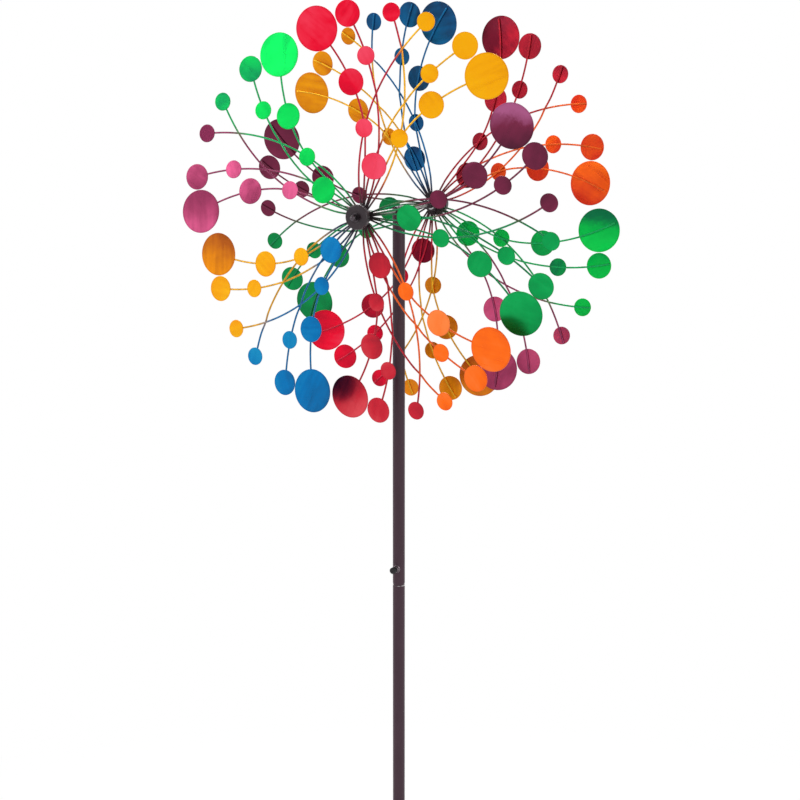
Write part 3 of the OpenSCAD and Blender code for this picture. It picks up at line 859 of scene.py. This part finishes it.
def half_discs(rotor, index, side):
    """The painted discs of one half of a blade, side -1 left and 1 right."""
    rng = random.Random(f"{rotor}{index}{side}")
    half = 0 if side < 0 else 1
    colour = COLOURS[rotor][index][half]
    tones = PAINTED_LIGHT_TONES[rotor][index][half]
    place = blade_map(rotor, index)
    turn_to_world = place.to_3x3()
    items = [(disc, side * x, z, diameter) for disc, (x, z, diameter) in DISCS.items()]
    if CENTRE_SIDE[rotor][index] == side:
        items.append(("centre", 0.0, CENTRE_OUT, MIDDLE))
    build = Build()
    for disc, x, z, diameter in items:
        r, centre, key = diameter / 2, Vector((x, 0, z)), (rotor, index + 1, side, disc)
        shell, faces = disc_shell(diameter, rng)
        way = disc_way(disc, side)
        tilt = math.radians(rng.uniform(-1.6, 1.6))
        grain = grain_coords(shell, rng)
        turn = Matrix.Rotation(tilt, 3, Vector((way[0], 0, way[1])))
        verts = [turn @ Vector((p.x, -DISC_SEAT - p.z, p.y)) + centre for p in shell]
        # a random painted sheen for discs not in the table, drawn for every disc so that the sheen
        # table doesn't shift later draws
        usual_sheen = (rng.uniform(0, 360), rng.uniform(0.05, 0.3))
        light_way, strength = SHEEN.get(key, usual_sheen)
        # painted light and shade: the half's listed lightness, varied a little at random, plus a
        # painted sheen across the disc
        level = tones.get(disc, tones["rest"]) + rng.uniform(-0.12, 0.12)
        offsets = [(turn_to_world @ (p - centre)) / MM for p in verts]
        tone = [level + strength * (toward(offset, light_way) / r) for offset in offsets]
        # painted reflection of a light on part of the listed discs
        reflection_band = None
        if key in PAINTED_REFLECTIONS:
            mirror_way, off_centre = PAINTED_REFLECTIONS[key]
            reflection_band = [PAINTED_REFLECTION_BASE + toward(offset, mirror_way) / r - off_centre
                    for offset in offsets]
        rim = [smooth(r - 1.3, r - 0.3, math.hypot(p.x, p.y)) for p in shell]
        build.add(verts, faces, grain=grain, tone=tone, edge=rim, reflection_band=reflection_band)
    name = f"{rotor}_blade_{index + 1}_" + ("left", "right")[half]
    obj = build.make(name + "_painted_discs", place, DISC_PAINTS[colour], sharp=50)
    register(obj, rotor + "_rotor", name + "_discs")


for rotor in ("front", "rear"):
    for index in range(BLADES):
        blade_wires(rotor, index)
        for side in (-1, 1):
            half_discs(rotor, index, side)


# ---- hub caps and acorn nuts -------------------------------------------------------
def facing(sign, z, y0):
    """Lays a lathe axis h along Y, starting y0 from the pole's axis; sign -1 is the front."""
    return Matrix(((1, 0, 0, 0), (0, 0, sign, sign * y0), (0, 1, 0, z), (0, 0, 0, 1)))


def hub_cap(rotor, sign):
    r, t, bore = CAP_R, CAP_Y1 - CAP_Y0, 4.56
    corners = [                                 # radius, height, corner radius
        (bore, t - 0.5, 0), (8.5, t - 0.5, 0.3), (8.6, t, 0.35), (r - 0.9, t - 0.12, 1.7),
        (r, t - 2.0, 1.6), (r, 0.7, 0.5), (r - 0.7, 0, 0.5), (bore, 0, 0),
    ]
    build = Build()
    build.add(*lathe(fillet(corners), 96, closed=True))
    place = TO_METRES @ facing(sign, HUB_Z, CAP_Y0)
    obj = build.make(f"{rotor}_hub_cap_turned", place, HUB_PAINT, sharp=60)
    fix_normals(obj)
    register(obj, rotor + "_rotor", rotor + "_hub_cap")


NUT_FLATS = 9.0
NUT_CORNER_CUT = 0.35
NUT_DOME_R = 4.1
NUT_DOME_HEIGHT = 4.38
NUT_DOME_FOOT = 0.5                             # straight part under the dome
NUT_DOME_STEPS = 10


def hexagon_radius(r, a):
    """Trims a radius to a hexagon with cut corners."""
    from_flat = (a + math.pi / 6) % (math.pi / 3) - math.pi / 6
    hexagon = NUT_FLATS / 2 / math.cos(from_flat)
    corner = NUT_FLATS / 2 / math.cos(math.pi / 6)
    return min(r, hexagon - max(0, hexagon - corner + NUT_CORNER_CUT))


def acorn_nuts():
    y0, top = reach("axle_washers")[1], reach("acorn_nuts")[1]
    base = top - y0 - NUT_DOME_HEIGHT           # height of the hexagon
    dome = top - y0 - base
    profile = [                                 # radius, height
        (0, 0), (3.1, 0), (4.35, 0.0), (4.75, 0.12), (5.0, 0.35), (5.2, 0.7), (5.3, base / 2),
        (5.2, base - 0.7), (5.0, base - 0.32), (4.7, base - 0.07), (4.35, base), (4.2, base),
    ]
    for k in range(NUT_DOME_STEPS + 1):
        a = math.radians(90 * k / NUT_DOME_STEPS)
        height = base + NUT_DOME_FOOT + (dome - NUT_DOME_FOOT) * math.sin(a)
        profile.append((NUT_DOME_R * math.cos(a), height))

    def nut_radius(r, h, a):
        return hexagon_radius(r, a) if h < base + 0.005 and r > 4.25 else r

    build = Build()
    for sign in (-1, 1):
        verts, faces = lathe(profile, 96, shape=nut_radius)
        place = facing(sign, HUB_Z, y0)
        if sign > 0:
            faces = [tuple(reversed(face)) for face in faces]
        build.add([place @ p for p in verts], faces)
    obj = build.make("acorn_nuts_domed", TO_METRES, NUT, sharp=38)
    fix_normals(obj)
    register(obj, "upper_pole", "acorn_nuts")


hub_cap("front", -1)
hub_cap("rear", 1)
acorn_nuts()

# ---- thumb screws ------------------------------------------------------------------
THREAD_PITCH, THREAD_DEPTH = 1.0, 0.55
THREAD_ROWS_PER_TURN, THREAD_SEGMENTS = 10, 48
START_CHAMFER, END_CHAMFER = 0.9, 0.4


def threaded_shank(which, z):
    y0, y1 = reach(which + "_screw_shank")
    r, length = half_width(which + "_screw_shank"), y1 - y0
    steps = int(length / THREAD_PITCH * THREAD_ROWS_PER_TURN)
    verts = [Vector((0, 0, 0))]
    for i in range(steps + 1):
        h = length * i / steps
        for j, a in enumerate(around(THREAD_SEGMENTS)):
            turn = (h / THREAD_PITCH - j / THREAD_SEGMENTS) % 1.0
            groove = max(0, min(1, abs(turn * 2 - 1) * 1.25 - 0.12))
            row_r = min(r - THREAD_DEPTH * groove,
                        r - START_CHAMFER + h, r - END_CHAMFER + (length - h))
            verts.append(Vector((row_r * math.cos(a), row_r * math.sin(a), h)))
    verts.append(Vector((0, 0, length)))
    build = Build()
    build.add(verts, capped_faces(steps + 1, THREAD_SEGMENTS))
    place = TO_METRES @ facing(-1, z, y0)
    obj = build.make(f"{which}_screw_threaded_shank", place, SCREW, sharp=80, weighted=False)
    fix_normals(obj)
    register(obj, which + "_screw", which + "_screw_shank")


def weld_boss(which, body, z, segments=72):
    """Boss welded on the tube, with a rippled fillet of weld that follows the tube's wall."""
    r, top = half_width(which + "_weld_nut"), reach(which + "_weld_nut")[1]
    fillet_rows = [                             # radius, height over the tube's wall
        (r + 1.1, 0.0), (r + 0.75, 0.16), (r + 0.4, 0.45), (r + 0.16, 0.85), (r, 1.4),
    ]
    # radius, height over the pole's axis: over the top, down the bore, closed inside the tube
    upper_rows = [
        (r, top - 0.5), (r - 0.15, top - 0.15), (r - 0.5, top), (3.35, top), (3.1, top - 0.3),
        (3.06, top - 1.6), (3.06, POLE_R * 0.86), (r * 0.8, POLE_R * 0.8),
    ]
    verts, faces = [], []
    for row_r, h in fillet_rows:
        for a in around(segments):
            ripple = 1 + (0.012 * math.sin(14 * a + 1.3) if row_r > r + 0.2 else 0)
            x, y = row_r * math.cos(a) * ripple, row_r * math.sin(a) * ripple
            wall = math.sqrt(max(0.01, POLE_R ** 2 - min(x, POLE_R - 0.3) ** 2))
            verts.append(Vector((x, y, wall + h - 0.12)))
    for row_r, h in upper_rows:
        verts += [Vector((row_r * math.cos(a), row_r * math.sin(a), h)) for a in around(segments)]
    rows = [i * segments for i in range(len(verts) // segments)]
    for row, above in zip(rows, rows[1:] + rows[:1]):
        for j in range(segments):
            k = (j + 1) % segments
            faces.append((row + j, row + k, above + k, above + j))
    build = Build()
    build.add(verts, faces)
    place = TO_METRES @ facing(-1, z, 0)
    obj = build.make(f"{which}_weld_nut_filleted", place, BOSS_PAINT, sharp=50)
    fix_normals(obj)
    register(obj, body, which + "_weld_nut")


for which, body in (("upper", "upper_pole"), ("lower", "middle_pole")):
    knob_lo, knob_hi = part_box(which + "_screw_knob")
    screw_z = (knob_lo.z + knob_hi.z) / 2 / MM
    threaded_shank(which, screw_z)
    weld_boss(which, body, screw_z)


# ---- stage, in metres --------------------------------------------------------------
def floor_material():
    """Pale floor that fades to pure white further out and is clear from below."""
    m = Surface("floor")
    geometry = m.node("ShaderNodeNewGeometry")
    flat = m.stretch(geometry.outputs["Position"], (1, 1, 0))
    distance = m.node("ShaderNodeVectorMath", {0: flat}, operation="LENGTH").outputs["Value"]
    fade = {"Value": distance, "From Min": 0.55, "From Max": 2.2}
    far = m.node("ShaderNodeMapRange", fade).outputs[0]
    m.put(m.principled, {"Base Color": (0.93, 0.93, 0.93), "Roughness": 0.7})
    white = m.node("ShaderNodeEmission", {"Color": (1, 1, 1), "Strength": 1.0})
    top = m.mix_shader(far, m.principled.outputs[0], white.outputs[0])
    clear = m.node("ShaderNodeBsdfTransparent")
    both = m.mix_shader(geometry.outputs["Backfacing"], top, clear.outputs[0])
    m.link(both, m.output.inputs[0])
    return m.material


def add_floor():
    floor_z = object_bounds()[0].z - 0.0005
    bpy.ops.mesh.primitive_circle_add(
        vertices=128, radius=14, fill_type="NGON", location=(0, 0, floor_z))
    floor = bpy.context.object
    floor.name = "floor"
    floor.data.materials.append(floor_material())


def add_world():
    """A softly patched room for light and reflections, plain white to the camera."""
    world = bpy.data.worlds.new("studio")
    bpy.context.scene.world = world
    w = Nodes(world, "ShaderNodeOutputWorld")
    patches = w.noise(w.coords("Generated"), scale=3.2, detail=1.5, rough=0.5)
    patches = w.ramp(patches, [(0.36, (0.55, 0.55, 0.56)), (0.52, (1, 1, 1))])
    room = w.node("ShaderNodeBackground", {"Color": patches, "Strength": 0.95})
    white = w.node("ShaderNodeBackground", {"Color": (1, 1, 1), "Strength": 1.0})
    to_camera = w.node("ShaderNodeLightPath").outputs["Is Camera Ray"]
    w.link(w.mix_shader(to_camera, room.outputs[0], white.outputs[0]), w.output.inputs[0])


def look(obj, direction):
    obj.rotation_mode = "QUATERNION"
    obj.rotation_quaternion = direction.to_track_quat("-Z", "Y")


def softbox(name, place, aim, size, power):
    light = bpy.data.lights.new(name, "AREA")
    light.shape = "RECTANGLE"
    light.size, light.size_y = size
    light.energy = power
    obj = bpy.data.objects.new(name, light)
    obj.location = place
    look(obj, Vector(aim) - Vector(place))
    obj.visible_camera = False
    bpy.context.scene.collection.objects.link(obj)


def add_camera():
    turn, rise = math.radians(28.271), math.radians(11.114)     # of the camera round the spinner
    away = Vector((math.sin(turn) * math.cos(rise), -math.cos(turn) * math.cos(rise),
                   math.sin(rise)))
    data = bpy.data.cameras.new("camera")
    data.sensor_width = 36.0
    data.lens = 86.924
    data.clip_start = 0.05
    data.clip_end = 60
    camera = bpy.data.objects.new("camera", data)
    camera.location = Vector((1.3519, -2.5101, HUB_Z * MM + 0.2741))
    look(camera, -away)
    bpy.context.scene.collection.objects.link(camera)
    bpy.context.scene.camera = camera
    bpy.context.scene.view_settings.view_transform = "Standard"


add_floor()
add_world()
softbox("key", place=(-2.6, -2.4, 3.0), aim=(0, 0, 1.3), size=(1.6, 1.6), power=45)
softbox("right", place=(3.0, -0.6, 2.2), aim=(0, 0, 1.2), size=(1.0, 2.0), power=28)
softbox("rim", place=(-0.8, 3.0, 2.6), aim=(0, 0, 1.3), size=(1.6, 1.2), power=30)
add_camera()
